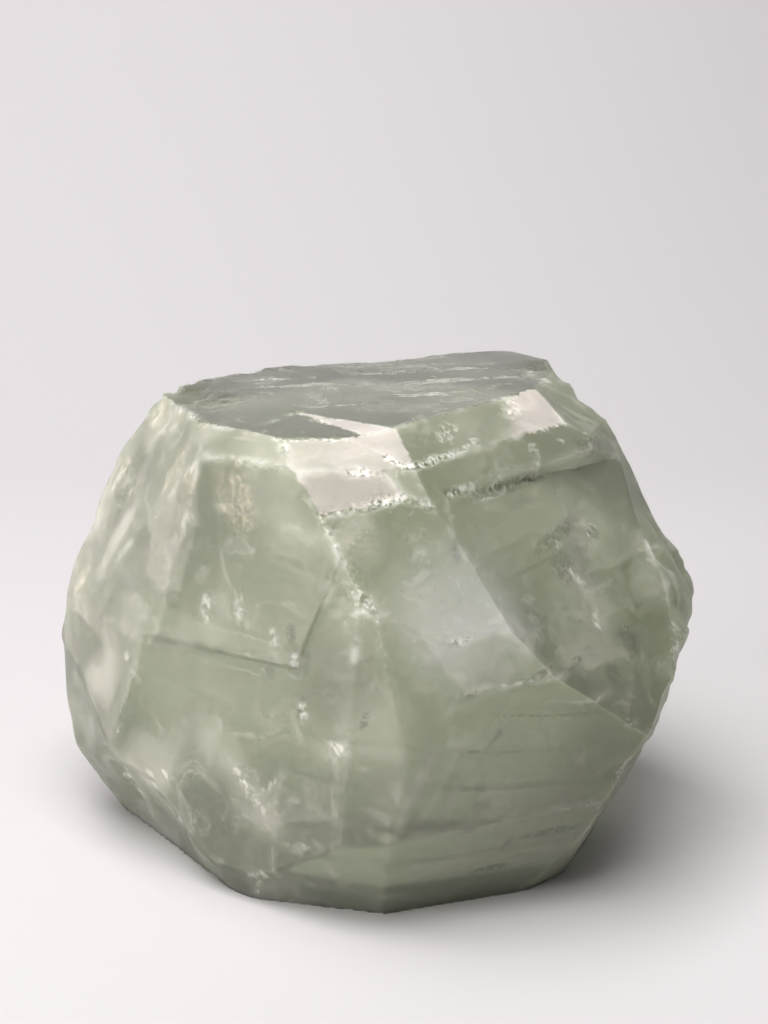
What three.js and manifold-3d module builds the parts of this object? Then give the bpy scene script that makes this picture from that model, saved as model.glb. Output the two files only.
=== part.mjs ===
// A palm-sized sanidine crystal: one glassy block of feldspar, grown as a single piece.
// It has a broad flat top, bright bevels around that top, large plain flanks that stand out
// furthest a little above half height, and a smaller flat base that it rests on.
//
// Units are millimetres, +Z is up, -Y is the front and +X is to the right. The origin is at the
// middle of the bounding box in plan, level with the base.

import * as THREE from "three";
import { mergeVertices } from "three/addons/utils/BufferGeometryUtils.js";
import Module from "manifold-3d";

const wasm = await Module();
wasm.setup();

// Driving dimensions.
const HEIGHT = 51.8; // from the base to the flat top
const HEART_HEIGHT = 26; // a point deep inside, above the middle of the base, that facets are set out from
const ROUGH_BLOCK = 120; // side of the cube that the crystal is cut from
const CUTTER = 240; // side of a cutting block, larger than the rough block is across
const WELD = 1e-4; // vertices closer than this are one

// Every facet is a flat plane, set out as on a goniometer: the way it faces in plan (degrees from
// the front, positive to the right), its lean (degrees that its outward normal rises above level)
// and its reach (distance from the heart).
const FACETS = [
  { name: "top", facing: 0, lean: 90, reach: HEIGHT - HEART_HEIGHT },
  { name: "base", facing: 0, lean: -90, reach: HEART_HEIGHT },
  { name: "bevel left", facing: -36, lean: 48, reach: 31.2 },
  { name: "bevel middle", facing: 12.6, lean: 58.7, reach: 28.67 },
  { name: "bevel nose", facing: 25.9, lean: 65, reach: 27.92 },
  { name: "bevel right", facing: 48.5, lean: 62, reach: 26.9 },
  { name: "bevel corner", facing: 74, lean: 56.5, reach: 30 },
  { name: "band middle", facing: 11, lean: 34, reach: 27.4 },
  { name: "band nose", facing: 18, lean: 38, reach: 27.6 },
  { name: "band right", facing: 48, lean: 40, reach: 25.5 },
  { name: "centre", facing: 12, lean: 28, reach: 26.6 },
  { name: "centre low", facing: 14, lean: 12, reach: 27.3 },
  { name: "front", facing: -2, lean: 5, reach: 26 },
  { name: "front left", facing: -18, lean: 2, reach: 24.3 },
  { name: "front right", facing: 16, lean: -6, reach: 27.2 },
  { name: "left", facing: -34, lean: 5, reach: 22.5 },
  { name: "left band", facing: -50, lean: 9, reach: 25.4 },
  { name: "left chamfer", facing: -60, lean: -4, reach: 30.5 },
  { name: "left shoulder", facing: -68, lean: 24, reach: 29.2 },
  { name: "left side", facing: -85, lean: 26, reach: 33.2 },
  { name: "left side low", facing: -83, lean: 14, reach: 34.2 },
  { name: "left flank", facing: -80, lean: 2, reach: 35.5 },
  { name: "left heel", facing: -70, lean: -18, reach: 38 },
  { name: "right edge", facing: 72, lean: 28.2, reach: 29.3 },
  { name: "right side", facing: 105, lean: 32.3, reach: 35.9 },
  { name: "right side low", facing: 97, lean: 22.8, reach: 34.9 },
  { name: "right flank", facing: 77, lean: -12.4, reach: 32.9 },
  { name: "right heel", facing: 66, lean: -26, reach: 32.9 },
  { name: "right heel back", facing: 100, lean: -30, reach: 34.5 },
  { name: "foot left", facing: -53, lean: -28, reach: 31.7 },
  { name: "foot left front", facing: -34, lean: -20, reach: 29.4 },
  { name: "foot front left", facing: -13, lean: -27, reach: 29.5 },
  { name: "foot front", facing: 18, lean: -27, reach: 29.5 },
  { name: "foot right", facing: 40, lean: -35, reach: 33.3 },
  { name: "back left", facing: -137, lean: 30, reach: 32 },
  { name: "back", facing: -155, lean: 25, reach: 30.5 },
  { name: "back crest", facing: -166, lean: 38, reach: 34.8 },
  { name: "back wall", facing: 170, lean: 6, reach: 33.3 },
  { name: "back right", facing: 128, lean: 15, reach: 36.2 },
  { name: "back foot", facing: 175, lean: -22, reach: 32 },
  { name: "back foot left", facing: -125, lean: -24, reach: 37 },
  { name: "back foot right", facing: 125, lean: -22, reach: 34 },
];

// Growth ledges: below or beside a ledge the crystal is a thin layer short. The floor of the step
// is the surface that the missing layer bares, and the riser is the edge of the layer that is left.
const LEDGES = [
  {
    floor: { name: "nose shelf", facing: 63, lean: 88, reach: 25.57 },
    riser: { name: "nose wall", facing: -36, lean: 83.4, reach: 26.59 },
  },
  {
    floor: { name: "right", facing: 55, lean: 37, reach: 24.4 },
    riser: { name: "right lip", facing: 48, lean: -30, reach: 4.3 },
  },
  {
    floor: { name: "left under-layer", facing: -34, lean: 3, reach: 21.9 },
    riser: { name: "left plate end", facing: 20, lean: -17, reach: 15.2 },
  },
  {
    floor: { name: "left under-layer", facing: -34, lean: 3, reach: 21.9 },
    riser: { name: "left plate foot", facing: -32, lean: -40, reach: 15.3 },
  },
];

/** Turn a closed three.js geometry into a solid that can be cut. */
function toSolid(geometry) {
  geometry.deleteAttribute("normal");
  geometry.deleteAttribute("uv");
  const merged = mergeVertices(geometry, WELD);
  const vertProperties = merged.attributes.position.array;
  const triVerts = new Uint32Array(merged.index.array);
  return new wasm.Manifold(new wasm.Mesh({ numProp: 3, vertProperties, triVerts }));
}

/** The outward unit normal of a facet. */
function normalOf({ facing, lean }) {
  const turn = THREE.MathUtils.degToRad(facing);
  const rise = THREE.MathUtils.degToRad(lean);
  const level = Math.cos(rise);
  return new THREE.Vector3(Math.sin(turn) * level, -Math.cos(turn) * level, Math.sin(rise));
}

/** All the space that lies outside a facet, as one large block standing on its plane. */
function spaceBeyond(facet) {
  const normal = normalOf(facet);
  const block = new THREE.BoxGeometry(CUTTER, CUTTER, CUTTER);
  block.translate(0, 0, CUTTER / 2 + facet.reach);
  block.applyQuaternion(new THREE.Quaternion().setFromUnitVectors(new THREE.Vector3(0, 0, 1), normal));
  block.translate(0, 0, HEART_HEIGHT);
  return toSolid(block);
}

/** Cut the facets, then the ledges, from the rough block. */
function cutCrystal() {
  const rough = new THREE.BoxGeometry(ROUGH_BLOCK, ROUGH_BLOCK, ROUGH_BLOCK);
  let solid = toSolid(rough);
  for (const facet of FACETS) {
    solid = solid.subtract(spaceBeyond(facet));
  }
  for (const { floor, riser } of LEDGES) {
    solid = solid.subtract(spaceBeyond(floor).intersect(spaceBeyond(riser)));
  }
  return solid;
}

/** A drawable geometry from a cut solid. */
function toGeometry(solid) {
  const mesh = solid.getMesh();
  const geometry = new THREE.BufferGeometry();
  geometry.setAttribute("position", new THREE.BufferAttribute(new Float32Array(mesh.vertProperties), 3));
  geometry.setIndex(new THREE.BufferAttribute(new Uint32Array(mesh.triVerts), 1));
  geometry.computeVertexNormals();
  return geometry;
}

// Pale sage-grey crystal, satin on the flanks.
const paleSage = new THREE.MeshStandardMaterial({ color: 0xa7ad98, roughness: 0.4, metalness: 0 });

const crystal = new THREE.Mesh(toGeometry(cutCrystal()), paleSage);
crystal.name = "crystal";

// Stand the origin at the middle of the bounding box in plan.
crystal.geometry.computeBoundingBox();
const middle = crystal.geometry.boundingBox.getCenter(new THREE.Vector3());
crystal.position.set(-middle.x, -middle.y, 0);

const specimen = new THREE.Group();
specimen.name = "sanidine specimen";
specimen.add(crystal);

export default specimen;
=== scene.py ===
from math import radians

import bpy
import numpy as np
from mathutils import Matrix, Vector


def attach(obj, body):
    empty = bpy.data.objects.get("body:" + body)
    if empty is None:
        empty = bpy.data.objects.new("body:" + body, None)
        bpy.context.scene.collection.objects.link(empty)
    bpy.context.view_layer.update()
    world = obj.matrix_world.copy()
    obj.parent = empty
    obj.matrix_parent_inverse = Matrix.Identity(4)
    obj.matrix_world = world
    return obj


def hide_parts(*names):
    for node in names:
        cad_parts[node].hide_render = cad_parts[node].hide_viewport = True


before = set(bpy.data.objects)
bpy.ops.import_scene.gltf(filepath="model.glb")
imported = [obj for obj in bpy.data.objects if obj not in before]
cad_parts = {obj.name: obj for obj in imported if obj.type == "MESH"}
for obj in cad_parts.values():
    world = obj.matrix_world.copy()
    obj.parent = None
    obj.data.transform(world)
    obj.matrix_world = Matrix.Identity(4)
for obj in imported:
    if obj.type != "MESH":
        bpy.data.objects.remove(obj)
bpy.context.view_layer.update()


# ---------------------------------------------------------------------------------------------
# The crystal
# One block of sanidine, a glassy potassium feldspar that grew layer on layer, so its flat facets
# are stepped with thin growth ledges. Corners and rims are broken rough, and edges on the left and
# low down are worn round. The body is milky and see-through, pale sage to grey.
# ---------------------------------------------------------------------------------------------

MM = 0.001
HEART = np.array([0.7, -4.1, 26.0])    # the point inside from which the whole skin can be seen
CELLS = 128                            # grid cells along each side of the cube round the heart
TOWARDS_FRONT = np.array([0.05, -0.28, 0.12])    # crowds the grid towards the front and top
SLIVER = 1e-4                          # a triangle is left out where its area, doubled, is less
SAME_WAY = 0.99995                     # the least cosine between the normals of one facet's triangles
SAME_REACH = 0.02                      # and the most that their distances from the heart differ
NO_EDGE, CORNER = -1, -2               # for grid points that lie on no edge, and on a corner


def facets_of(node):
    """The node's triangles in millimetres from the heart, their outward normals and the plane
    distances, and for each triangle the number of the flat facet it lies on. Two triangles lie on
    one facet where both their normals and their distances agree."""
    mesh = node.data
    points = np.empty(len(mesh.vertices) * 3)
    mesh.vertices.foreach_get("co", points)
    mesh.calc_loop_triangles()
    corners = np.empty(len(mesh.loop_triangles) * 3, dtype=int)
    mesh.loop_triangles.foreach_get("vertices", corners)
    points = points.reshape(-1, 3) / MM - HEART
    points, same = np.unique(np.round(points, 4), axis=0, return_inverse=True)
    corners = same.ravel()[corners].reshape(-1, 3)
    a, b, c = points[corners].transpose(1, 0, 2)
    normals = np.cross(b - a, c - a)
    size = np.linalg.norm(normals, axis=1)
    corners, normals, a = corners[size > SLIVER], normals[size > SLIVER], a[size > SLIVER]
    normals /= np.linalg.norm(normals, axis=1)[:, None]
    reach = (normals * a).sum(axis=1)
    together = (normals @ normals.T > SAME_WAY) & (abs(reach[:, None] - reach) < SAME_REACH)
    return points, corners, normals, reach, together.argmax(axis=1)


def creases_of(corners, facet):
    """The edges between two facets, as pairs of corner numbers: the triangle edges whose two
    triangles lie on different facets."""
    sides = np.sort(np.concatenate([corners[:, [0, 1]], corners[:, [1, 2]], corners[:, [2, 0]]]))
    owner = np.tile(facet, 3)
    pairs, group = np.unique(sides, axis=0, return_inverse=True)
    group = group.ravel()
    lowest = np.full(len(pairs), facet.max() + 1)
    highest = np.full(len(pairs), -1)
    np.minimum.at(lowest, group, owner)
    np.maximum.at(highest, group, owner)
    return pairs[lowest != highest]


def ball_grid(cells):
    """Directions spread over a ball and the four-sided cells between them: each side of a cube is
    split at equal angles into cells x cells squares and pushed out to the ball."""
    spread = np.tan(np.linspace(-np.pi / 4, np.pi / 4, cells + 1))
    i, j = np.meshgrid(np.arange(cells), np.arange(cells), indexing="ij")
    around = [(i, j), (i + 1, j), (i + 1, j + 1), (i, j + 1)]
    quads = []
    for axis in range(3):
        for side in (0, cells):
            ring = around if side else around[::-1]
            place = np.empty((3, 4, cells * cells), dtype=int)
            place[axis] = side
            place[(axis + 1) % 3] = [step[0].ravel() for step in ring]
            place[(axis + 2) % 3] = [step[1].ravel() for step in ring]
            quads.append(np.ravel_multi_index(place, (cells + 1,) * 3).T)
    keys, quads = np.unique(np.concatenate(quads), return_inverse=True)
    directions = spread[np.stack(np.unravel_index(keys, (cells + 1,) * 3), axis=1)]
    return directions / np.linalg.norm(directions, axis=1)[:, None], quads.reshape(-1, 4)


def grid_lines(quads):
    """The lines of a grid, as pairs of point numbers: each side of a cell once."""
    sides = [quads[:, [0, 1]], quads[:, [1, 2]], quads[:, [2, 3]], quads[:, [3, 0]]]
    return np.unique(np.sort(np.concatenate(sides)), axis=0)


def triangle_under(directions, points, corners):
    """The triangle that each direction from the heart leaves by: the one whose three planes
    through the heart and an edge have the direction furthest on their inner side."""
    a, b, c = points[corners].transpose(1, 0, 2)
    inner = np.concatenate([np.cross(a, b), np.cross(b, c), np.cross(c, a)])
    inner /= np.linalg.norm(inner, axis=1)[:, None]
    found = [(part @ inner.T).reshape(len(part), 3, -1).min(axis=1).argmax(axis=1)
             for part in np.array_split(directions, 32)]
    return np.concatenate(found)


def snapped(directions, quads, facet_at, points, creases):
    """Grid points moved onto the crystal's edges, so an edge runs along grid lines. A grid line
    that joins two facets crosses the edge between them, and the nearer of its two ends moves to
    the crossing; the grid point nearest to each corner of the crystal then moves to the corner.
    Returns the new directions, each moved point's reach, and the number of the edge it is on."""
    lines = grid_lines(quads)
    lines = lines[facet_at[lines[:, 0]] != facet_at[lines[:, 1]]]
    a, b = points[creases].transpose(1, 0, 2)
    across = np.cross(a, b)
    across /= np.linalg.norm(across, axis=1)[:, None]
    start, end = directions[lines[:, 0]], directions[lines[:, 1]]
    side_start, side_end = start @ across.T, end @ across.T
    along_a = np.cross(b, across)
    along_b = np.cross(across, a)
    share = abs(side_start) / (abs(side_start) + abs(side_end) + 1e-12)
    weight_a = (1 - share) * (start @ along_a.T) + share * (end @ along_a.T)
    weight_b = (1 - share) * (start @ along_b.T) + share * (end @ along_b.T)
    crosses = (side_start * side_end <= 0) & (weight_a > 0) & (weight_b > 0)
    line = np.flatnonzero(crosses.any(axis=1))
    crease = crosses[line].argmax(axis=1)
    toward_b = weight_b[line, crease] / (weight_a[line, crease] + weight_b[line, crease])
    target = a[crease] + toward_b[:, None] * (b - a)[crease]
    share = share[line, crease]
    mover = np.where(share < 0.5, lines[line, 0], lines[line, 1])
    shift = np.minimum(share, 1 - share)
    order = np.argsort(-shift)
    moved = directions.copy()
    edge = np.full(len(directions), NO_EDGE)
    moved[mover[order]] = target[order]
    edge[mover[order]] = crease[order]
    tips = points[np.unique(creases)]
    nearest = (directions @ (tips / np.linalg.norm(tips, axis=1)[:, None]).T).argmax(axis=0)
    moved[nearest] = tips
    edge[nearest] = CORNER
    reach = np.linalg.norm(moved, axis=1)
    return moved / reach[:, None], reach, edge


LATTICE_START = 64.37                  # cells from the lattice's corner to the origin


def swell(place, size, seed):
    """A smooth random swell from -1 to 1: random values on a cubic lattice whose cells are `size`
    millimetres wide, blended inside each cell by the curve 3t^2 - 2t^3 along each axis. The
    lattice repeats after 32 cells."""
    lattice = np.random.default_rng(seed).uniform(-1, 1, (32, 32, 32))
    cell = np.asarray(place) / size + LATTICE_START
    base = np.floor(cell).astype(int)
    t = cell - base
    t = t * t * (3 - 2 * t)
    total = 0
    for corner in np.ndindex(2, 2, 2):
        weight = np.where(corner, t, 1 - t).prod(axis=-1)
        x, y, z = ((base + corner) % 32).T
        total = total + weight * lattice[x, y, z]
    return total


def lumps(place, size, seed):
    """Four swells added up, each half the size and 0.6 of the height of the one before, then made
    about as high as one swell."""
    total = sum(0.6 ** step * swell(place, size / 2 ** step, seed + step) for step in range(4))
    return total / 1.5


def hollows(place, size, seed):
    """Shell-shaped hollows with sharp rims between them, 0 on a rim's top and -1 in the deepest
    middle: the squared distance to the nearest of one random point in each lattice cell."""
    lattice = np.random.default_rng(seed).uniform(0, 1, (16, 16, 16, 3))
    cell = np.asarray(place) / size + LATTICE_START
    base = np.floor(cell).astype(int)
    nearest = np.full(len(cell), 9.0)
    for step in np.ndindex(3, 3, 3):
        near = base + step - 1
        x, y, z = (near % 16).T
        nearest = np.minimum(nearest, ((near + lattice[x, y, z] - cell) ** 2).sum(axis=1))
    return np.minimum(nearest, 1) - 1


def ease(value, low, high):
    """Climbs smoothly from 0 at low to 1 at high."""
    t = np.clip((value - low) / (high - low), 0, 1)
    return t * t * (3 - 2 * t)


points, corners, normals, plane_reach, facet = facets_of(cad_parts["crystal"])
creases = creases_of(corners, facet)
directions, quads = ball_grid(CELLS)
directions += TOWARDS_FRONT
directions /= np.linalg.norm(directions, axis=1)[:, None]
triangle = triangle_under(directions, points, corners)
directions, edge_reach, edge = snapped(directions, quads, facet[triangle], points, creases)
triangle = np.where(edge == NO_EDGE, triangle, triangle_under(directions, points, corners))
normal = normals[triangle]
reach = plane_reach[triangle] / (normal * directions).sum(axis=1)
reach = np.where(edge == NO_EDGE, reach, edge_reach)
skin = HEART + directions * reach[:, None]
facing = np.degrees(np.arctan2(directions[:, 0], -directions[:, 1]))
above_base = ease(skin[:, 2], 0.3, 2.0)

# Natural faces are never quite flat: a gentle unevenness, and on the flanks faint level growth
# lines, in patches, between bands that tilt a degree or two one way and the other. The height of
# the skin over the flat facets is a saw tooth for the lines and a zigzag for the bands.
GROWTH_SPACING = 4.3
steep = 1 - ease(abs(normal[:, 2]), 0.55, 0.9)
height = 0.20 * swell(skin, 13, 1) + 0.05 * swell(skin, 4.5, 2)
level = (skin[:, 2] + 0.9 * swell(skin, 9, 3) + 0.06 * skin[:, 0]) / GROWTH_SPACING
patchy = ease(swell(skin, 11, 4), -0.2, 0.5)
height += steep * patchy * (0.10 * (level % 1) + 0.22 * abs(level % 2 - 1) - 0.16)

# Growth steps, where one thin layer ends on the next: the start and end of the step, how far its
# middle sags, how much lighter its left side is than its right (looking from start to end, from
# outside), how far the left side stands out over the right, and how far both fade off. Lengths
# are in millimetres. The lighter left side is partly a milkier layer and partly painted light on
# the step's raised side; the darker right side is painted shade below the step.
STEPS = {
    "left band foot": ((-28.1, -9.6, 26.8), (-18.8, -17.8, 27.9), 0.7, 0.9, 0.10, 5.0),
    "left plate foot": ((-18.8, -17.8, 29.1), (-7.6, -25.4, 28.8), -0.4, 0.5, 0.0, 3.0),
    "left plate end": ((-7.6, -25.4, 28.8), (-3.7, -26.7, 41.1), 0.0, 0.6, 0.0, 4.0),
    "panel foot": ((-24.6, -12.0, 34.3), (-20.2, -16.3, 33.9), 0.4, 0.8, 0.04, 6.0),
    "panel side": ((-20.4, -16.3, 33.9), (-17.8, -16.7, 46.5), 0.3, 0.7, 0.04, 3.5),
    "triangle side": ((-29.8, -10.0, 16.8), (-26.7, -11.6, 25.7), 0.0, 0.8, 0.10, 4.0),
    "triangle foot": ((-36.0, -1.5, 20.0), (-29.8, -10.0, 16.8), 0.0, 0.6, 0.06, 5.0),
    "second terrace": ((-23.0, -15.4, 24.0), (-14.7, -21.4, 22.2), 0.2, 0.7, 0.08, 3.0),
    "upright below it": ((-17.9, -20.1, 14.5), (-16.5, -20.2, 22.0), 0.0, 0.6, 0.06, 4.0),
    "low terrace": ((-15.5, -22.0, 9.4), (-5.0, -28.1, 12.7), 0.5, 0.6, 0.08, 3.0),
    "low terrace middle": ((-6.0, -28.1, 12.5), (4.0, -30.4, 13.3), 0.2, 0.35, 0.06, 3.0),
    "front line": ((4.0, -30.5, 22.6), (-6.5, -27.2, 21.2), 0.1, 0.35, 0.06, 3.0),
    "foot upright": ((-3.3, -26.0, 4.5), (-2.2, -29.2, 12.4), 0.0, 0.6, 0.06, 4.0),
    "front slope": ((2.6, -30.5, 14.0), (15.9, -28.2, 30.0), 0.8, 0.5, 0.10, 8.0),
    "centre foot": ((4.0, -30.1, 28.6), (16.5, -28.3, 28.2), 0.5, 1.0, 0.08, 3.5),
    "centre foot right": ((15.5, -28.5, 28.2), (23.0, -26.2, 28.4), 0.0, 1.0, 0.08, 1.5),
    "line below it": ((14.0, -28.7, 25.8), (26.0, -24.9, 25.0), -0.2, 1.0, 0.08, 1.2),
    "centre low side": ((5.6, -29.7, 33.8), (9.6, -30.1, 28.4), 0.0, 0.6, 0.06, 4.0),
    "centre lower edge": ((5.5, -29.7, 33.3), (15.0, -27.7, 33.7), 0.1, 0.5, 0.05, 2.5),
    "centre left edge": ((-1.5, -28.8, 38.0), (6.2, -29.7, 33.4), 0.1, 0.5, 0.05, 4.0),
    "centre high edge": ((-3.6, -26.9, 40.6), (0.6, -24.9, 45.2), 0.0, 0.8, 0.03, 3.5),
    "right layer": ((11.5, -22.9, 40.4), (25.5, -9.0, 40.2), -0.5, 0.9, 0.08, 3.0),
    "right outer layer": ((25.8, -13.2, 36.2), (32.9, 0.1, 33.5), 0.3, 0.9, 0.08, 2.5),
    "right outer layer low": ((26.6, -17.3, 32.4), (33.5, -4.7, 29.7), 0.2, 0.7, 0.08, 2.0),
    "right foot layer": ((20.5, -26.4, 29.7), (30.2, -18.0, 28.5), 0.4, 0.8, 0.08, 2.5),
    "low right line": ((9.0, -29.6, 17.5), (26.5, -23.0, 16.6), 0.2, 0.5, 0.06, 2.0),
    "foot layer": ((1.5, -29.9, 11.2), (24.5, -24.5, 11.5), 0.3, 0.8, 0.08, 3.5),
    "back layer": ((21.0, 26.5, 32.0), (-13.0, 25.5, 34.0), 0.6, 0.8, 0.12, 4.0),
    "back layer low": ((17.0, 28.5, 21.5), (-13.0, 24.0, 22.5), -0.5, 0.7, 0.12, 3.0),
    "back foot layer": ((8.0, 24.5, 9.5), (-16.0, 21.0, 11.0), 0.4, 0.6, 0.10, 3.0),
    "back right layer": ((32.0, 12.5, 34.0), (20.0, 26.0, 36.5), 0.3, 0.8, 0.10, 3.0),
    "back left layer": ((-13.0, 20.5, 40.0), (-25.0, 8.0, 41.0), 0.3, 0.7, 0.10, 3.0),
    "left flank layer": ((-33.5, 8.0, 31.0), (-36.6, -8.0, 28.0), 0.3, 0.7, 0.10, 3.0),
}
STEP_EDGE = 0.25                       # how far from its line a step passes from one side to the other
STEP_GROOVE = 0.8                      # how far from its line a step's thin groove fades off
step_tone = np.zeros(len(skin))
for seed, (start, end, sag, whiter, rise, fade) in enumerate(STEPS.values()):
    start, end = np.array(start), np.array(end)
    middle, half = (start + end) / 2, np.linalg.norm(end - start) / 2
    along = (end - start) / (2 * half)
    out = normal[(directions @ (middle - HEART)).argmax()]
    offset = skin - middle
    u = offset @ along / half
    v = offset @ np.cross(out, along) + sag * (1 - u ** 2) + 0.4 * swell(skin, 2.6, 20 + seed) \
        + 0.15 * swell(skin, 1.0, 50 + seed)
    inside = (1 - ease(abs(u), 0.8, 1.15)) * (1 - ease(abs(offset @ out), 3, 6))
    side = np.clip(v / STEP_EDGE, -1, 1) * np.exp(-abs(v) / fade) * inside
    # The raised side gets painted light and the lower side painted shade, along with the milkier layer.
    step_tone += whiter * side
    height += 0.5 * rise * side - rise * np.exp(-abs(v) / STEP_GROOVE) * inside
reach = reach + height * above_base
step_tone = np.clip(step_tone, -0.8, 0.8)

# Corners and rims that are broken rough: middle, size and depth of the break, and the breadth of
# its larger hollows, all in millimetres. A break with a minus depth stands out in lumps instead.
BREAKS = {
    "upper left corner": ((-21.0, -3.0, 51.0), 7.0, 0.8, 3.0),
    "upper right corner": ((22.5, 12.0, 50.5), 8.0, 1.0, 3.4),
    "end of the right bevel": ((24.5, 4.5, 48.5), 4.5, 0.5, 2.2),
    "right rim": ((37.0, -1.0, 28.0), 12.0, -1.7, 3.6),
    "right rim lower down": ((34.0, -12.0, 20.0), 8.0, -1.0, 3.4),
    "lower right rim": ((29.0, -18.0, 14.0), 9.0, 1.0, 4.0),
    "lower left rim": ((-27.0, -12.0, 5.5), 10.0, 2.2, 4.4),
    "left rim low": ((-36.0, -3.0, 16.0), 8.0, 0.6, 3.6),
    "left rim": ((-36.5, 0.0, 27.0), 9.0, -0.9, 5.2),
    "left rim higher up": ((-29.5, 4.0, 41.0), 9.0, -1.0, 6.4),
    "corner at the left end of the top": ((-23.0, 1.0, 51.5), 4.5, 1.1, 2.6),
    "back of the top": ((0.0, 24.0, 48.0), 12.0, 0.8, 4.0),
    "point of the left plate": ((-8.5, -24.8, 29.5), 2.6, 0.5, 1.6),
    "shoulder of the centre": ((-1.5, -28.0, 38.5), 4.0, 0.4, 1.5),
}
broken = np.zeros(len(skin))
for seed, (middle, size, depth, breadth) in enumerate(BREAKS.values()):
    distance = np.linalg.norm(skin - np.array(middle), axis=1)
    near = np.flatnonzero(distance < 1.3 * size)
    amount = 1 - ease(distance[near] + 2.0 * swell(skin[near], 3, 60 + seed), 0.4 * size, size)
    bite = 0.65 * hollows(skin[near], breadth, 70 + seed) \
        + 0.35 * hollows(skin[near], breadth / 2.3, 80 + seed)
    reach[near] += depth * amount * bite * above_base[near]
    broken[near] = np.maximum(broken[near], amount * np.minimum(abs(depth), 1))

# The edges are nibbled here and there, and the level edges under the bevels are crushed along most
# of their length into a belt about a millimetre wide of small hollows.
BELT_BREADTH, BELT_DEPTH = 0.85, 0.25
NIBBLE_BREADTH, NIBBLE_DEPTH = 0.7, 0.30
a, b = points[creases].transpose(1, 0, 2)
middle = (a + b) / 2
is_level = abs(b - a)[:, 2] < 0.4 * np.linalg.norm(b - a, axis=1)
under_bevels = (middle[:, 2] > 17) & (middle[:, 2] < 24.5)
in_front = abs(np.degrees(np.arctan2(middle[:, 0], -middle[:, 1])) - 10) < 60
crushed = is_level & under_bevels & in_front
from_edge = np.full(len(skin), 9.0)
from_crushed = np.full(len(skin), 9.0)
for start, end, is_crushed in zip(a, b, crushed):
    along = (skin - HEART - start) @ (end - start) / ((end - start) @ (end - start))
    gap = skin - HEART - start - np.clip(along, 0, 1)[:, None] * (end - start)
    from_edge = np.minimum(from_edge, np.linalg.norm(gap, axis=1))
    if is_crushed:
        from_crushed = np.minimum(from_crushed, np.linalg.norm(gap, axis=1))
belt = 1 - ease(from_crushed + 0.35 * swell(skin, 1.1, 91), 0.1, BELT_BREADTH)
belt *= ease(swell(skin, 3.0, 92), -0.6, 0.2)
belt *= 1 - 0.75 * ease(-facing, 5, 25) - 0.5 * ease(facing, 25, 40)
nibbled = 1 - ease(from_edge + 0.3 * swell(skin, 1.2, 93), 0.05, NIBBLE_BREADTH)
nibbled *= ease(swell(skin, 3.5, 94), 0.1, 0.6)
soft_front = (1 - ease(skin[:, 2], 29, 34)) * (1 - ease(abs(facing - 3), 11, 18))
nibbled *= 1 - np.maximum(soft_front, 0.6 * ease(-facing, 38, 50) * (1 - ease(skin[:, 2], 47, 50)))
chipping = np.maximum(BELT_DEPTH * belt, NIBBLE_DEPTH * nibbled * above_base)
reach += chipping * (hollows(skin, 1.0, 95) - 0.1)
chipped = np.maximum(belt, 0.6 * nibbled)
skin = HEART + directions * reach[:, None]

# The edges on the left, low down and in the lower front are worn round: each point there is drawn
# towards the middle of its neighbours, a few times over.
WEAR_ROUNDS = 7
lines = grid_lines(quads)
lines = np.concatenate([lines, lines[:, ::-1]])
neighbours = np.bincount(lines[:, 0])
worn_left = ease(-facing, 38, 62) * (1 - ease(skin[:, 2], 47, 50))
worn_low = 1 - ease(skin[:, 2], 8, 14)
worn = 0.7 * np.maximum(np.maximum(0.8 * worn_left, 0.5 * worn_low), 0.8 * soft_front)
for turn in range(WEAR_ROUNDS):
    total = np.stack([np.bincount(lines[:, 0], skin[lines[:, 1], axis]) for axis in range(3)], axis=1)
    skin += worn[:, None] * (total / neighbours[:, None] - skin)
skin[:, 2] = np.maximum(np.where(above_base > 0, skin[:, 2], 0), 0)

# How milky each facet's skin is: the way it faces, its lean (degrees), and how much of it is
# frosted. Any other facet has the plain frost.
FROST = {
    "top": (0, 90, 0.10),
    "nose shelf": (63, 88, 0.10),
    "nose wall": (-36, 83.4, 0.74),
    "bevel left": (-36, 48, 0.51),
    "bevel middle": (12.6, 58.7, 0.69),
    "bevel nose": (25.9, 65, 0.74),
    "bevel right": (48.5, 62, 0.26),
    "bevel corner": (74, 56.5, 0.40),
    "band middle": (11, 34, 0.68),
    "band nose": (18, 38, 0.50),
    "band right": (48, 40, 0.28),
    "centre": (12, 28, 0.27),
    "centre low": (14, 12, 0.29),
    "front left": (-18, 2, 0.34),
    "right": (55, 37, 0.24),
    "left": (-34, 5, 0.42),
    "left band": (-50, 9, 0.50),
    "left shoulder": (-68, 24, 0.50),
    "front right": (16, -6, 0.22),
    "foot front": (18, -27, 0.12),
}
PLAIN_FROST = 0.28
NAMED_WITHIN = 3                       # degrees between a facet's normal and the one its name gives
turn, rise = np.radians([(face, lean) for face, lean, frost_and_highlight in FROST.values()]).T
named = np.stack([np.sin(turn) * np.cos(rise), -np.cos(turn) * np.cos(rise), np.sin(rise)])
match = normals @ named
which = np.where(match.max(axis=1) > np.cos(radians(NAMED_WITHIN)), match.argmax(axis=1), -1)
frost_and_highlight = np.append([share for face, lean, share in FROST.values()], PLAIN_FROST)[which][triangle]
names = list(FROST)
on_bevel_right = which[triangle] == names.index("bevel right")
on_bevel_middle = which[triangle] == names.index("bevel middle")
# The right end of the right bevel is made milkier and lighter, a painted highlight, and the left part of
# the middle bevel a little less milky, a painted shade.
frost_and_highlight += 0.62 * on_bevel_right * ease(skin[:, 0] + 0.5 * swell(skin, 3, 96), 12.5, 18.5)
frost_and_highlight -= 0.10 * on_bevel_middle * (1 - ease(skin[:, 0], -9.0, 0.0))


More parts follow.
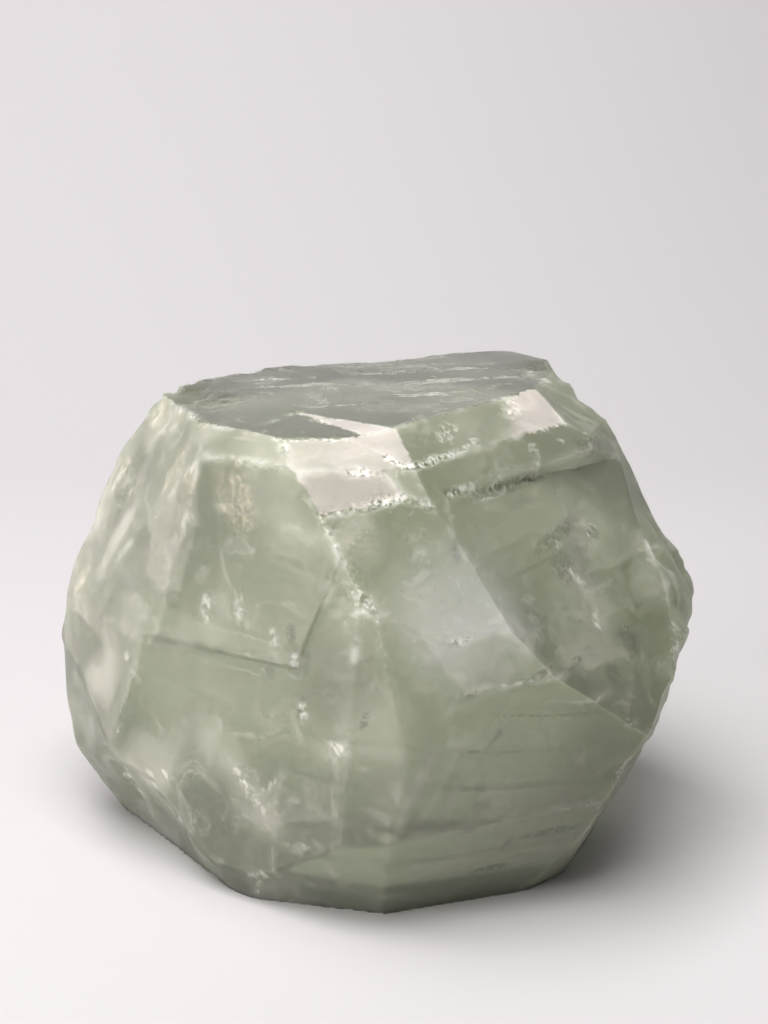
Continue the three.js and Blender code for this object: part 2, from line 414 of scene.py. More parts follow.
def frame_on_skin(place):
    """The skin point that a place lies on seen from the heart, and three directions there: level
    along the skin, up the skin, and out of it."""
    nearest = (directions @ (np.array(place) - HEART)).argmax()
    out = normal[nearest]
    level = np.cross((0, 0, 1), out + (0.0, -0.05, 0.0))
    level /= np.linalg.norm(level)
    return skin[nearest], level, np.cross(out, level), out


# Marks that reach the skin: the place, length, breadth (millimetres), turn from level (degrees)
# and kind: white for a healed crack, and for two painted glints along the centre foot; chip for a
# small clean break; the smoky kind for dark specks, and for painted shadow on the top, under the
# lip and in pits; warm for iron stain; or haze for soft milk. A mark is 1 in its middle, 0 on its
# outline, and falls off outside.
MARK_DEPTH = 3                         # how far off the skin's own plane a mark still reaches
MARKS = {
    "wisp on the top": ((6.5, 0.7, 51.8), 9.0, 1.5, 8, "white"),
    "second wisp on the top": ((-3.3, -5.1, 51.8), 6.0, 0.9, 16, "white"),
    "wisp far back on the top": ((3.0, 12.0, 51.8), 8.0, 1.6, 10, "white"),
    "wisp at the back left": ((-12.0, 8.0, 51.8), 7.0, 1.3, 14, "white"),
    "wisp at the back right": ((12.0, 14.0, 51.8), 5.0, 1.2, 6, "white"),
    "streaks by the right corner": ((16.0, 9.0, 51.8), 5.0, 1.0, 20, "white"),
    "corner chip": ((19.5, 14.5, 51.6), 2.6, 1.8, 20, "white"),
    # Painted shadow where the top looks dark.
    "shadow in the top": ((3.5, -5.0, 51.8), 8.0, 2.4, 8, "smoky_and_shade"),
    "shadow behind the wisps": ((5.0, 3.5, 51.8), 10.0, 1.6, 8, "smoky_and_shade"),
    "shadow far back": ((2.0, 16.0, 51.8), 16.0, 2.2, 8, "smoky_and_shade"),
    "shadow at the left corner": ((-17.0, -4.0, 51.8), 5.0, 1.4, -30, "smoky_and_shade"),
    "hook on the right bevel": ((10.5, -12.3, 48.9), 3.4, 1.0, 15, "white"),
    "specks on the right bevel": ((8.0, -12.5, 50.2), 5.5, 2.4, 30, "white"),
    "more specks on the bevel": ((15.5, -3.0, 50.4), 4.5, 2.6, 30, "white"),
    "chips on the right band": ((17.8, -8.2, 47.0), 4.5, 1.8, 60, "white"),
    "more chips on the band": ((21.0, -4.0, 47.3), 2.0, 1.4, 40, "white"),
    # Painted shadow under the lip of the right band.
    "line under the lip": ((15.5, -12.6, 45.2), 20.0, 1.5, -1, "smoky_and_shade"),
    "end of the line": ((23.5, -1.5, 44.6), 7.0, 1.6, -12, "smoky_and_shade"),
    "chips under the lip": ((13.0, -15.5, 44.6), 6.0, 0.9, 0, "white"),
    "right star": ((21.9, -13.8, 39.0), 1.6, 1.4, 0, "white"),
    "right upper fleck": ((21.7, -14.6, 34.8), 1.6, 3.0, 10, "white"),
    "right lower fleck": ((23.2, -17.0, 30.9), 1.3, 2.8, -15, "white"),
    "rim fleck": ((32.6, -2.0, 35.2), 1.0, 4.2, -15, "white"),
    "rim haze": ((26.5, -8.0, 38.6), 4.5, 2.2, 40, "white"),
    # Painted shade in a small pit.
    "pit": ((21.5, -23.9, 29.0), 2.4, 0.9, 0, "smoky_and_shade"),
    "patch above the pit": ((29.5, -16.0, 28.4), 4.0, 3.0, 50, "smoky_and_shade"),
    "patch on the right": ((21.0, -15.5, 36.6), 5.0, 4.4, 10, "smoky_and_shade"),
    "band on the right": ((22.5, -13.0, 40.6), 13.0, 1.8, 10, "smoky_and_shade"),
    "fracture": ((5.4, -30.4, 18.6), 14.5, 1.3, 68, "haze"),
    "fracture beside it": ((7.6, -29.9, 18.0), 9.0, 1.0, 66, "haze"),
    "short fracture": ((8.5, -29.2, 15.6), 5.0, 1.0, 72, "haze"),
    "comma": ((-0.5, -29.2, 24.7), 0.9, 2.2, -20, "smoky_and_shade"),
    "ring": ((-7.2, -25.2, 24.0), 2.0, 2.6, 10, "white"),
    "heart of the ring": ((-7.2, -25.2, 24.0), 0.8, 1.2, 10, "smoky_and_shade"),
    "lens": ((-3.3, -28.0, 21.2), 3.6, 1.3, -10, "white"),
    "lower wisp": ((-13.0, -21.8, 14.0), 7.0, 1.5, -48, "white"),
    "lower wisp fork": ((-10.8, -23.4, 14.6), 3.0, 0.9, 50, "white"),
    "lower haze": ((-14.2, -21.0, 14.5), 14.0, 7.0, -48, "haze"),
    "haze on the left low": ((-23.5, -14.5, 14.0), 11.0, 7.0, 60, "haze"),
    "haze in the centre": ((10.0, -27.0, 36.5), 17.0, 11.0, 40, "haze"),
    "haze on the front": ((2.0, -29.8, 25.0), 10.0, 7.0, 10, "haze"),
    "haze in the left panel": ((-21.5, -13.5, 39.0), 16.0, 4.0, 82, "haze"),
    "haze on the shoulder": ((-28.0, -5.5, 39.5), 14.0, 3.0, 70, "haze"),
    "haze in the triangle": ((-31.0, -8.0, 21.0), 9.0, 6.0, 60, "haze"),
    "haze on the plate": ((-14.0, -21.0, 33.0), 12.0, 7.0, 20, "haze"),
    "haze on the right": ((22.0, -19.0, 32.5), 12.0, 9.0, 30, "haze"),
    "haze by the right star": ((27.5, -8.5, 38.5), 7.0, 5.0, 20, "haze"),
    "haze at the right rim": ((33.0, -6.0, 33.0), 9.0, 6.0, 60, "haze"),
    "yellow patch": ((-1.5, -26.8, 43.0), 7.0, 5.0, 60, "haze"),
    "stain on the left band": ((-21.0, -11.5, 46.0), 6.5, 2.4, 74, "warm"),
    "stain beside it": ((-18.9, -15.4, 46.0), 4.0, 2.2, 60, "warm"),
    "stain at the upper left corner": ((-24.6, 1.9, 49.6), 3.6, 2.4, 80, "warm"),
    "stain on the left facet": ((-13.8, -19.5, 45.5), 8.0, 4.5, -60, "warm"),
    "haze high on the left facet": ((-11.0, -21.5, 43.0), 14.0, 10.0, -20, "haze"),
    "stain on the outer rim": ((-28.0, 1.0, 42.4), 3.4, 1.8, 76, "warm"),
    "stain low on the rim": ((-32.9, -1.3, 30.3), 4.0, 2.0, 80, "warm"),
    "stain under the lip": ((18.5, -10.5, 44.0), 5.0, 1.6, 0, "warm"),
    "chip on the triangle": ((-27.9, -11.2, 24.6), 0.9, 1.3, 0, "chip"),
    "chip below it": ((-28.6, -11.6, 15.4), 1.0, 0.9, 0, "chip"),
    "tip of the plate": ((-8.0, -25.2, 29.6), 0.9, 2.2, -10, "white"),
    "ring by the tip": ((-8.2, -25.0, 32.5), 1.4, 2.2, 0, "smoky_and_shade"),
    "blob by the rim haze": ((26.5, -7.5, 38.8), 2.6, 2.0, 0, "smoky_and_shade"),
    # Two painted highlights along the centre foot's growth steps.
    "glint along the centre foot": ((16.0, -28.4, 28.5), 11.0, 0.6, 1, "white"),
    "glint below it": ((22.0, -26.4, 25.6), 8.0, 0.5, -3, "white"),
    "smoke low on the right": ((27.6, -22.6, 26.6), 3.0, 2.6, 20, "smoky_and_shade"),
    "loop by the centre foot": ((17.2, -28.0, 29.2), 3.6, 0.9, 25, "smoky_and_shade"),
    "smoky sliver": ((19.3, -24.0, 9.5), 7.0, 1.3, 6, "smoky_and_shade"),
    "small smoky sliver": ((13.0, -23.5, 4.7), 4.5, 1.2, 4, "smoky_and_shade"),
    "plate fleck": ((-10.0, -23.6, 31.5), 1.6, 3.6, 5, "white"),
    "second plate fleck": ((-14.0, -21.0, 34.0), 1.3, 3.6, 0, "white"),
    "third plate fleck": ((-17.5, -18.3, 33.2), 1.4, 4.0, 0, "white"),
    "shoulder specks": ((-1.0, -28.4, 37.5), 5.0, 1.8, -40, "white"),
    # Painted shade in pits by the shoulder.
    "pits by the shoulder": ((-0.2, -28.6, 37.0), 3.0, 1.0, -40, "smoky_and_shade"),
    "rim chip": ((-29.5, -7.6, 7.6), 2.0, 1.2, 10, "chip"),
    "rim chip beside it": ((-26.4, -13.4, 10.4), 1.6, 1.1, -25, "chip"),
    "rim chip below it": ((-26.0, -12.6, 8.8), 3.2, 1.1, -20, "chip"),
    "rim chip lowest": ((-28.2, -8.4, 5.4), 1.7, 0.9, -20, "chip"),
    "foot chip": ((-24.0, -15.8, 11.2), 1.6, 0.8, -35, "chip"),
    "second foot chip": ((-22.6, -14.5, 5.2), 1.5, 1.1, -50, "chip"),
    "third foot chip": ((-20.6, -16.2, 4.2), 1.7, 1.0, 20, "chip"),
}
marks = {kind: np.full(len(skin), -1.0) for kind in ("white", "chip", "smoky_and_shade", "warm", "haze")}
for place, length, breadth, turn, kind in MARKS.values():
    middle, level, steep, out = frame_on_skin(place)
    turned = np.radians(turn)
    offset = skin - middle
    u = offset @ (level * np.cos(turned) + steep * np.sin(turned)) * 2 / length
    v = offset @ (steep * np.cos(turned) - level * np.sin(turned)) * 2 / breadth
    blob = 1 - u ** 2 - v ** 2 - (offset @ out / MARK_DEPTH) ** 2
    marks[kind] = np.maximum(marks[kind], blob)

# Smoky patches and patches of painted shade with soft outlines: the middle, how much each axis is
# squeezed, the sizes of the dark core and of the whole, and the strength. Millimetres.
SMOKE_AND_SHADE = {
    # Painted shade low on the right, the side away from the side light.
    "low on the right": ((27, -22, 5), (0.8, 1, 1.0), 9, 30, 1.0),
    "left of the front": ((-4, -28, 28), (1, 1, 1), 2, 9, 0.8),
    # Painted shadow on the top behind the nose.
    "behind the nose": ((2.8, -6.4, 51.6), (0.45, 1.0, 0.5), 0.5, 3.0, 0.9),
}

# Soft tones of the body, held by the mesh: milk in clouds, darker level growth layers with painted
# shade below each growth step, upright milky streaks on the left with painted light above each
# step, lilac in the middle of the front, patches of smoke and of painted shade, edges worn white,
# and painted glitter over the centre.
FLAT_LAYERS, UPRIGHT_STREAKS = (0.25, 0.25, 1.0), (1.0, 1.0, 0.22)    # how each axis is squeezed
haze = marks.pop("haze")
tones = {
    "cloud": ease(lumps(skin, 15, 110) + 0.35 * (haze + 0.4), -0.35, 0.50),
    # The layers also hold the painted shade below each step, and the streaks the painted light above it.
    "layers_and_step_shade": np.maximum(0.6 * ease(lumps(skin * FLAT_LAYERS, 4.5, 120), -0.05, 0.35), -step_tone),
    "streaks_and_step_light": np.maximum(0.5 * ease(lumps(skin * UPRIGHT_STREAKS, 3.2, 130), 0.0, 0.45)
                          * ease(-skin[:, 0], 6, 24), step_tone),
    "lilac": 1 - ease(np.linalg.norm(skin - (10, -27, 36), axis=1), 2, 12),
    "smoke_and_shade": np.max([strength * (1 - ease(np.linalg.norm((skin - middle) * squeeze, axis=1), core, size))
                     for middle, squeeze, core, size, strength in SMOKE_AND_SHADE.values()], axis=0),
    "edge": (1 - ease(from_edge, 0.1, 0.9)) * ease(lumps(skin, 2.5, 140), -0.1, 0.5)
            * ease(skin[:, 2], 24, 34),
    "glitter": 1 - ease(np.linalg.norm(skin - (5, -26, 41), axis=1), 7, 14),
}


def alike(first, second):
    """Whether two grid points lie on one edge of the crystal; a corner is on all its edges."""
    return ((first >= 0) & (first == second)) | ((first == CORNER) & (second != NO_EDGE)) \
        | ((second == CORNER) & (first != NO_EDGE))


# Each cell is split along the diagonal that follows an edge, or else along the outer one.
first, second = alike(edge[quads[:, 0]], edge[quads[:, 2]]), alike(edge[quads[:, 1]], edge[quads[:, 3]])
q = skin[quads] - HEART
outer = np.linalg.norm(q[:, 0] + q[:, 2], axis=1) > np.linalg.norm(q[:, 1] + q[:, 3], axis=1)
use_first = np.where(first == second, outer, first)[:, None]
halves = np.where(use_first, quads[:, [0, 1, 2, 0, 2, 3]], quads[:, [0, 1, 3, 1, 2, 3]]).reshape(-1, 3)


def mesh_piece(name, places, faces, material):
    """A mesh object of the given points, in millimetres, and faces."""
    mesh = bpy.data.meshes.new(name)
    mesh.from_pydata(np.asarray(places) * MM, [], faces)
    mesh.materials.append(material)
    mesh.update()
    piece = bpy.data.objects.new(name, mesh)
    bpy.context.scene.collection.objects.link(piece)
    return piece


def hold(piece, name, values):
    """Keeps one value at each point of the piece's mesh, under a name that its material reads."""
    piece.data.attributes.new(name, "FLOAT", "POINT").data.foreach_set("value", values)


class Shade:
    """One output of a node in a material. Operators add Math nodes, and node() any other node."""

    def __init__(self, tree, socket=None):
        self.tree, self.socket = tree, socket

    def node(self, kind, settings=None, values=None, output=0):
        """Adds a node, makes its settings, then fills its inputs with numbers or other Shades."""
        node = self.tree.nodes.new(kind)
        for name, setting in (settings or {}).items():
            setattr(node, name, setting)
        for name, value in (values or {}).items():
            if isinstance(value, Shade):
                self.tree.links.new(value.socket, node.inputs[name])
            else:
                node.inputs[name].default_value = value
        return Shade(self.tree, node.outputs[output] if node.outputs else None)

    def math(self, operation, first, second):
        """One step of arithmetic on two values, as a Math node."""
        return self.node("ShaderNodeMath", {"operation": operation}, {0: first, 1: second})

    def __add__(self, other):
        return self.math("ADD", self, other)

    def __sub__(self, other):
        return self.math("SUBTRACT", self, other)

    def __rsub__(self, other):
        return self.math("SUBTRACT", other, self)

    def __mul__(self, other):
        return self.math("MULTIPLY", self, other)

    __radd__ = __add__
    __rmul__ = __mul__

    def between(self, low, high):
        """0 at low and below, 1 at high and above, and smooth between."""
        return self.node("ShaderNodeMapRange", {"interpolation_type": "SMOOTHSTEP"},
                         {"Value": self, "From Min": low, "From Max": high})


def new_material(name):
    """An empty material, and a Shade to add nodes to it with."""
    material = bpy.data.materials.new(name)
    material.use_nodes = True
    material.node_tree.nodes.clear()
    return material, Shade(material.node_tree)


COLOUR_IN, SECOND_COLOUR_IN, COLOUR_OUT = 6, 7, 2    # the Mix node's own numbers for its sockets


def mixed(factor, first, second):
    """One colour passing into another as the factor goes from 0 to 1."""
    return factor.node("ShaderNodeMix", {"data_type": "RGBA"},
                       {0: factor, COLOUR_IN: first, SECOND_COLOUR_IN: second}, COLOUR_OUT)


def rgb(red, green, blue):
    """An opaque colour, from linear amounts."""
    return (red, green, blue, 1)


sanidine, shade = new_material("sanidine")
place = shade.node("ShaderNodeTexCoord", output=3)


def noise(size, detail, roughness, distortion=0.0):
    """Fractal noise whose coarsest lumps are `size` millimetres across."""
    return place.node("ShaderNodeTexNoise", None, {
        "Vector": place, "Scale": 1 / (size * MM), "Detail": detail, "Roughness": roughness,
        "Distortion": distortion})


def painted(name):
    """A value that the mesh holds at each of its points."""
    return shade.node("ShaderNodeAttribute", {"attribute_name": name}, output=2)


wisps = noise(4.5, 5, 0.7, 1.2).between(0.50, 0.70)
ragged = noise(0.9, 3, 0.75, 0.5)
grit = noise(0.45, 2, 0.6)
sparks = shade.node("ShaderNodeTexVoronoi", None, {"Vector": place, "Scale": 1 / (0.7 * MM)})
sparks = (1 - sparks.between(0.11, 0.22)) * painted("glitter")
frost_and_highlight_here, polish = painted("frost_and_highlight"), painted("polish")
chips, rubble = painted("chipped"), painted("broken")
cloud, layers_and_step_shade, streaks_and_step_light = painted("cloud"), painted("layers_and_step_shade"), painted("streaks_and_step_light")
lilac, smoke_and_shade, edge_light = painted("lilac"), painted("smoke_and_shade"), painted("edge")
white = painted("white").between(-0.6, 0.9) * ragged.between(0.42, 0.68)
white = white + (painted("chip") + ragged * 3.0 - 1.5).between(-0.2, 0.7) * 0.65
dark = painted("smoky_and_shade").between(-0.7, 0.8) * (1 - ragged.between(0.46, 0.66))
warm = painted("warm").between(-0.9, 0.8) * (ragged.between(0.42, 0.70) * 0.8 + 0.2)

# The colours of the milk, from the plain body outwards to what lies on it.
SAGE = rgb(0.47, 0.50, 0.37)
PALE_SAGE = rgb(0.68, 0.68, 0.57)
DEEP_SAGE = rgb(0.36, 0.39, 0.28)
CREAM = rgb(0.80, 0.79, 0.71)
WARM_CREAM = rgb(0.84, 0.80, 0.72)
LILAC_GREY = rgb(0.74, 0.74, 0.76)
SMOKE_AND_SHADE_GREY = rgb(0.15, 0.16, 0.11)
IRON_STAIN = rgb(0.86, 0.73, 0.56)
FROSTED_AND_HIGHLIGHT = rgb(0.71, 0.665, 0.615)
WORN_EDGE = rgb(0.84, 0.85, 0.78)
SPECK_AND_SHADE = rgb(0.17, 0.18, 0.13)
HEALED_CRACK_AND_GLINT = rgb(0.84, 0.83, 0.77)
GLINT = rgb(0.97, 0.97, 0.94)
CRUSHED = rgb(0.93, 0.93, 0.90)
CRUSHED_GAP_SHADE = rgb(0.20, 0.22, 0.16)
RUBBLE = rgb(0.92, 0.91, 0.86)

milky = mixed(cloud, SAGE, PALE_SAGE)
# Deep sage darkens the growth layers, and as painted shade the lower side of each step.
milky = mixed(layers_and_step_shade * 0.5, milky, DEEP_SAGE)
milky = mixed(wisps * 0.5, milky, CREAM)
# Warm cream lightens the streaks, and as painted light the raised side of each step.
milky = mixed(streaks_and_step_light * 0.45, milky, WARM_CREAM)
milky = mixed(lilac * 0.6, milky, LILAC_GREY)
# Smoke grey, and the painted shade low on the right and behind the nose.
milky = mixed(smoke_and_shade * 0.85, milky, SMOKE_AND_SHADE_GREY)
milky = mixed(warm * 0.50, milky, IRON_STAIN)
# Frosted milk, and the painted highlight at the right bevel's end and shade on the middle bevel.
milky = mixed(frost_and_highlight_here.between(0.38, 0.70), milky, FROSTED_AND_HIGHLIGHT)
milky = mixed(edge_light * 0.5, milky, WORN_EDGE)
# Dark specks, and the painted shadows and pit shade of the smoky marks.
milky = mixed(dark * 0.8, milky, SPECK_AND_SHADE)
# Healed cracks, and the painted highlights along the centre foot.
milky = mixed(white * 0.75, milky, HEALED_CRACK_AND_GLINT)
milky = mixed(sparks * 0.35, milky, GLINT)
milky = mixed(chips * grit.between(0.52, 0.62), milky, CRUSHED)
# Painted shade in the hollows between the crushed crumbs, where the grit's relief is low.
milky = mixed(chips * (1 - grit.between(0.40, 0.50)), milky, CRUSHED_GAP_SHADE)
milky = mixed(rubble * 0.35 * wisps, milky, RUBBLE)

# The top is the smoothest, and the streaks and the broken rims are the dullest. The finest relief
# is a light grit, the growth layers, and coarser grit in the crushed belts.
rough = 0.34 - polish * 0.17 + ragged * 0.10 + streaks_and_step_light * 0.14 + rubble * 0.08
etch = grit * 0.13 + layers_and_step_shade * 0.25 + chips * grit * 3.5
bumps = etch.node("ShaderNodeBump", None, {"Strength": 0.22, "Distance": 0.2 * MM, "Height": etch})

# Clear crystal shows the inside and its absorption, and frosted crystal glows with its own milk;
# the share passes from the one to the other.
FELDSPAR_IOR = 1.53
clear = shade.node("ShaderNodeBsdfPrincipled", None, {
    "Base Color": rgb(0.86, 0.87, 0.80), "Roughness": rough, "Normal": bumps, "IOR": FELDSPAR_IOR,
    "Transmission Weight": 1.0})
frosted = shade.node("ShaderNodeBsdfPrincipled", {"subsurface_method": "RANDOM_WALK"}, {
    "Base Color": milky, "Roughness": rough, "Normal": bumps, "IOR": FELDSPAR_IOR,
    "Subsurface Weight": 1.0, "Subsurface Scale": 5 * MM, "Subsurface Radius": (1.0, 1.0, 0.8)})
share = frost_and_highlight_here * (cloud * 0.5 + 0.8) + wisps * 0.14 + ragged * 0.16 - 0.08 + streaks_and_step_light * 0.10 \
    + layers_and_step_shade * 0.12 + lilac * 0.05 + smoke_and_shade * 0.45 + rubble * 0.12 + chips * 0.45 + sparks * 0.15 \
    + white * 0.50 + dark * 0.35 + warm * 0.35 + edge_light * 0.12
surface = shade.node("ShaderNodeMixShader", None, {0: share, 1: clear, 2: frosted})
inside = shade.node("ShaderNodeVolumeAbsorption", None, {"Color": rgb(0.50, 0.58, 0.36), "Density": 26.0})
shade.node("ShaderNodeOutputMaterial", None, {"Surface": surface, "Volume": inside})

# Edges between facets stay sharp, except where they are worn round.
SHARP_FROM = 26                        # degrees between two faces
UNWORN = 0.3                           # an edge is worn round where it is worn more than this
crystal = mesh_piece("crystal_block", skin, halves, sanidine)
for name, values in {"broken": broken, "chipped": chipped, "frost_and_highlight": frost_and_highlight,
                     "polish": ease(normal[:, 2], 0.9, 0.99), **marks, **tones}.items():
    hold(crystal, name, values)
crystal.data.shade_smooth()
crystal.data.set_sharp_from_angle(angle=radians(SHARP_FROM))
ends = np.empty(len(crystal.data.edges) * 2, dtype=int)
crystal.data.edges.foreach_get("vertices", ends)
ends = ends.reshape(-1, 2)
sharp = np.zeros(len(ends), dtype=bool)
crystal.data.attributes["sharp_edge"].data.foreach_get("value", sharp)
sharp |= alike(edge[ends[:, 0]], edge[ends[:, 1]]) & (worn[ends].max(axis=1) < UNWORN)
crystal.data.attributes["sharp_edge"].data.foreach_set("value", sharp)
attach(crystal, "root")
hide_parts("crystal")


# ---------------------------------------------------------------------------------------------
# Veils, wisps and flecks sealed in the crystal
# Healed cracks full of tiny bubbles, which look white, a few smoky specks of other minerals, and
# two dark sheets under the top that are painted shadow.
# Each is a thin crumpled lens a little way under the skin, fading out towards its ragged outline.
# ---------------------------------------------------------------------------------------------

# Place on the skin, depth below it, length, breadth (millimetres), turn from level (degrees) and
# whiteness from 0, smoky, to 1.
VEILS = {
    "top wisp": ((6.5, 0.7, 51.8), 0.8, 9.0, 1.8, 8, 1.0),
    "top wisp behind": ((9.0, 8.0, 51.8), 0.9, 12.0, 2.5, 12, 0.9),
    "top wisp left": ((-8.0, 6.0, 51.8), 1.0, 11.0, 2.6, 14, 0.9),
    # Two dark sheets under the top, painted shadow where the top looks dark.
    "top shadow": ((2.0, -4.0, 51.8), 0.9, 10.0, 3.4, 6, 0.05),
    "top shadow behind": ((4.0, 14.0, 51.8), 1.2, 16.0, 3.5, 10, 0.15),
    "top corner chip": ((19.5, 13.0, 51.8), 0.5, 2.6, 1.8, 20, 1.0),
    "right haze": ((25.0, -13.0, 37.0), 1.5, 11.0, 7.0, 25, 0.8),
    "right dark patch": ((30.0, -15.5, 28.0), 0.9, 4.2, 3.4, 40, 0.0),
    "fracture": ((5.2, -30.4, 18.2), 1.2, 13.5, 1.6, 67, 0.85),
    "short fracture": ((8.5, -29.2, 15.6), 0.7, 5.0, 0.7, 70, 0.9),
    "lower wisp": ((-14.2, -21.0, 14.5), 1.0, 12.0, 3.6, -48, 1.0),
    "lower wisp right": ((-10.5, -23.6, 14.2), 1.0, 6.0, 2.8, 60, 0.95),
    "lower left haze": ((-20.0, -16.0, 17.0), 1.6, 12.0, 7.0, 40, 0.85),
    "left plate second fleck": ((-13.5, -21.3, 33.5), 0.5, 1.4, 3.6, 80, 0.9),
    "left plate third fleck": ((-17.0, -18.6, 32.5), 0.6, 1.6, 4.0, 85, 0.8),
    "left glow": ((-22.5, -12.0, 40.0), 1.4, 14.0, 4.0, 80, 0.95),
    "left outer glow": ((-30.0, -6.0, 34.0), 1.6, 13.0, 4.0, 75, 0.85),
    "bright triangle": ((-29.6, -8.0, 20.5), 0.9, 9.0, 4.0, 60, 0.9),
}
ROUND, RINGS = 24, 6                   # points round a lens, and rings on each side of it
CENTRE = 0.04                          # the innermost ring, as a share of the outline
HALF_THICKNESS = 0.03
LEAST_COVER = 0.3                      # no lens comes nearer to the crystal's skin than this


def lens_of(place, depth, length, breadth, turn, seed):
    """A thin closed lens under the skin: rings of points that grow from the middle out on one side
    and shrink back on the other. The outline swings in and out with three waves, and the sheet
    is crumpled by a random swell. Returns the points and how near the middle each one is."""
    middle, level, steep, across = frame_on_skin(place)
    rings = np.concatenate([np.linspace(CENTRE, 1, RINGS), np.linspace(1, CENTRE, RINGS)[1:]])
    angle, ring = np.meshgrid(np.linspace(0, 2 * np.pi, ROUND, endpoint=False), rings)
    phase = np.random.default_rng(seed).uniform(0, 2 * np.pi, 3)
    outline = 1 + 0.25 * np.sin(2 * angle + phase[0]) + 0.20 * np.sin(3 * angle + phase[1]) \
        + 0.12 * np.sin(7 * angle + phase[2])
    side = np.where(np.arange(2 * RINGS - 1) < RINGS, 1, -1)[:, None]
    u = ring * outline * np.cos(angle) * length / 2
    v = ring * outline * np.sin(angle) * breadth / 2
    turned = np.radians(turn)
    right = u * np.cos(turned) - v * np.sin(turned)
    rise = u * np.sin(turned) + v * np.cos(turned)
    flat = np.stack([right, rise, 0 * rise], axis=-1).reshape(-1, 3)
    crumple = 0.4 * depth * swell(flat, max(breadth, 1.0), seed).reshape(ring.shape)
    off = crumple + side * HALF_THICKNESS * (1 - ring ** 2) - depth
    sheet = middle + right[..., None] * level + rise[..., None] * steep + off[..., None] * across
    return sheet.reshape(-1, 3), (1 - ring ** 2).ravel()


# More small lenses are scattered under the skin above the foot.
SCATTERED, FOOT_HEIGHT = 70, 6
chance = np.random.default_rng(31)
scatter = skin[chance.choice(np.flatnonzero(skin[:, 2] > FOOT_HEIGHT), SCATTERED)]
entries = list(VEILS.values()) + [
    (spot, chance.uniform(0.4, 1.6), chance.uniform(0.8, 5.0), chance.uniform(0.4, 1.6),
     chance.uniform(-20, 90), chance.uniform(0.5, 1.0)) for spot in scatter]
lenses = [lens_of(np.array(place), depth, length, breadth, turn, 100 + number)
          for number, (place, depth, length, breadth, turn, white) in enumerate(entries)]

# A point that would come too near the flat facets is drawn back towards the heart.
sheet = np.concatenate([lens[0] for lens in lenses]) - HEART
away = np.linalg.norm(sheet, axis=1)
under = triangle_under(sheet / away[:, None], points, corners)
limit = plane_reach[under] / (normals[under] * sheet).sum(axis=1) * away - LEAST_COVER
sheet = HEART + sheet * np.minimum(limit / away, 1)[:, None]

# Faces of one lens: strips between its rings, and a small cap over the middle of each side.
row, column = np.meshgrid(np.arange(2 * RINGS - 2), np.arange(ROUND), indexing="ij")
here, there = row * ROUND + column, row * ROUND + (column + 1) % ROUND
strips = np.stack([here, here + ROUND, there + ROUND, there], axis=-1).reshape(-1, 4)
rim = np.arange(ROUND)
caps = np.stack([rim, (2 * RINGS - 2) * ROUND + rim[::-1]])
count = (2 * RINGS - 1) * ROUND
first = np.arange(len(lenses))[:, None, None] * count
faces = (strips + first).reshape(-1, 4).tolist() + (caps + first).reshape(-1, ROUND).tolist()

veil, shade = new_material("veil")
place = shade.node("ShaderNodeTexCoord", output=3)
ragged = noise(1.1, 5, 0.7, 1.0).between(0.40, 0.62)
# The painted shadow sheets under the top are among the dark lenses.
tint = mixed(painted("white"), rgb(0.07, 0.08, 0.06), rgb(0.93, 0.92, 0.88))
solid = (painted("core") * 1.6 * (ragged * 0.8 + 0.2)).between(0.05, 1.0)
surface = shade.node("ShaderNodeBsdfPrincipled", None, {
    "Base Color": tint, "Roughness": 0.6, "Alpha": solid})
shade.node("ShaderNodeOutputMaterial", None, {"Surface": surface})

veils = mesh_piece("veils_flecks_and_shadow_sheets", sheet, faces, veil)
hold(veils, "core", np.concatenate([lens[1] for lens in lenses]))
hold(veils, "white", np.repeat([entry[-1] for entry in entries], count))
veils.data.shade_smooth()
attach(veils, "root")


# ---------------------------------------------------------------------------------------------
# The studio: a plain pale floor that curves up into a pale backdrop, one wide soft light over
# the stone and a little in front, a weaker one at the side, and the camera.
# ---------------------------------------------------------------------------------------------

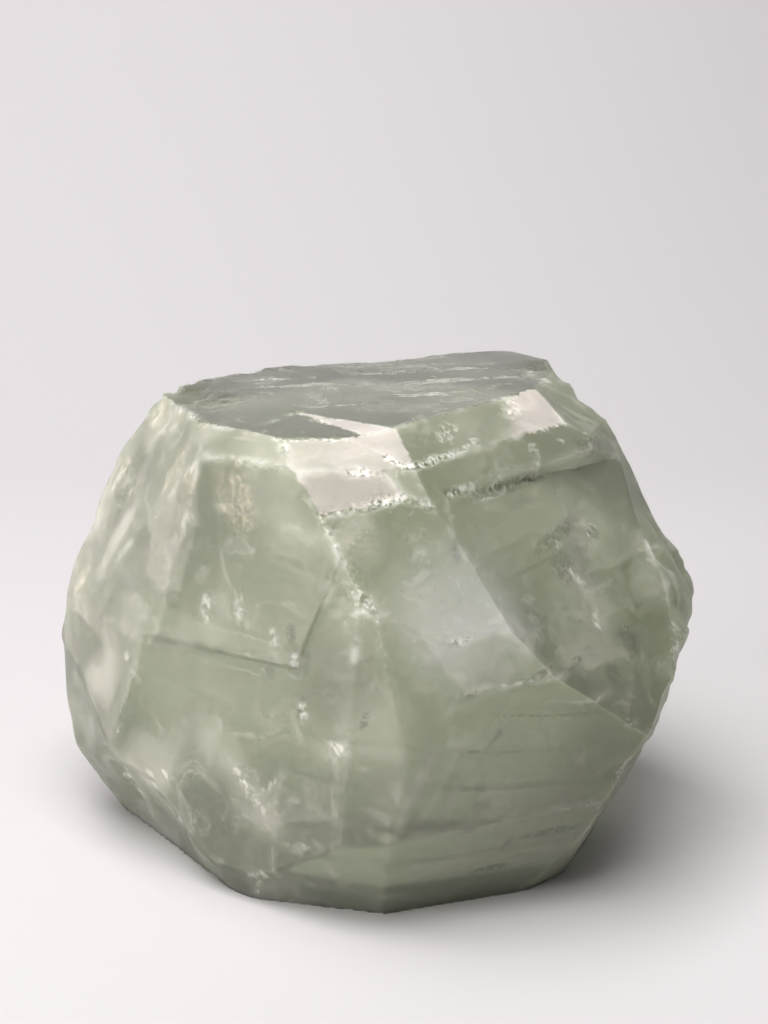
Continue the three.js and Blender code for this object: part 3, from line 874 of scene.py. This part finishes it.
paper, shade = new_material("pale paper")
surface = shade.node("ShaderNodeBsdfPrincipled", None, {
    "Base Color": rgb(0.60, 0.58, 0.595), "Roughness": 0.8})
shade.node("ShaderNodeOutputMaterial", None, {"Surface": surface})
FRONT, BACK, BEND, WALL, HALF_WIDTH = -900.0, 150.0, 250.0, 900.0, 1200.0    # millimetres
turn = np.radians(np.linspace(0, 90, 33))
bend = np.stack([BACK + BEND * np.sin(turn), BEND * (1 - np.cos(turn))], axis=1)
profile = np.concatenate([[[FRONT, 0]], bend, [[BACK + BEND, WALL]]])
grid = np.array([[(side, y, z) for side in (-HALF_WIDTH, HALF_WIDTH)] for y, z in profile]).reshape(-1, 3)
row = np.arange(len(profile) - 1) * 2
floor = mesh_piece("floor", grid, np.stack([row, row + 1, row + 3, row + 2], axis=1), paper)
floor.data.shade_smooth()


def soft_light(name, place, width, depth, watts, colour, target=(0, 0, 0.02)):
    """A soft light at a place, in metres, turned to face the target."""
    lamp = bpy.data.lights.new(name, "AREA")
    lamp.shape = "RECTANGLE"
    lamp.size, lamp.size_y = width, depth
    lamp.energy = watts
    lamp.color = colour
    holder = bpy.data.objects.new(name, lamp)
    holder.location = place
    holder.rotation_euler = (Vector(target) - Vector(place)).to_track_quat("-Z", "Y").to_euler()
    bpy.context.scene.collection.objects.link(holder)


soft_light("overhead light", (-0.08, -0.08, 0.52), 0.50, 0.34, 3.9, (1.0, 0.985, 0.965))
soft_light("left light", (-0.55, -0.34, 0.24), 0.40, 0.35, 2.3, (1.0, 0.98, 0.96))

world = bpy.data.worlds.new("studio air")
bpy.context.scene.world = world
world.use_nodes = True
air = world.node_tree.nodes["Background"]
air.inputs["Color"].default_value = rgb(0.90, 0.88, 0.92)
air.inputs["Strength"].default_value = 0.12
bpy.context.scene.view_settings.view_transform = "Standard"

LOOKING_DOWN = 17                      # degrees
optics = bpy.data.cameras.new("camera")
optics.lens, optics.sensor_width = 60, 36
optics.clip_start = 0.01
camera = bpy.data.objects.new("camera", optics)
camera.location = (0.00147, -0.18836, 0.0955)
camera.rotation_euler = (radians(90 - LOOKING_DOWN), 0, 0)
bpy.context.scene.collection.objects.link(camera)
bpy.context.scene.camera = camera

bpy.context.view_layer.update()
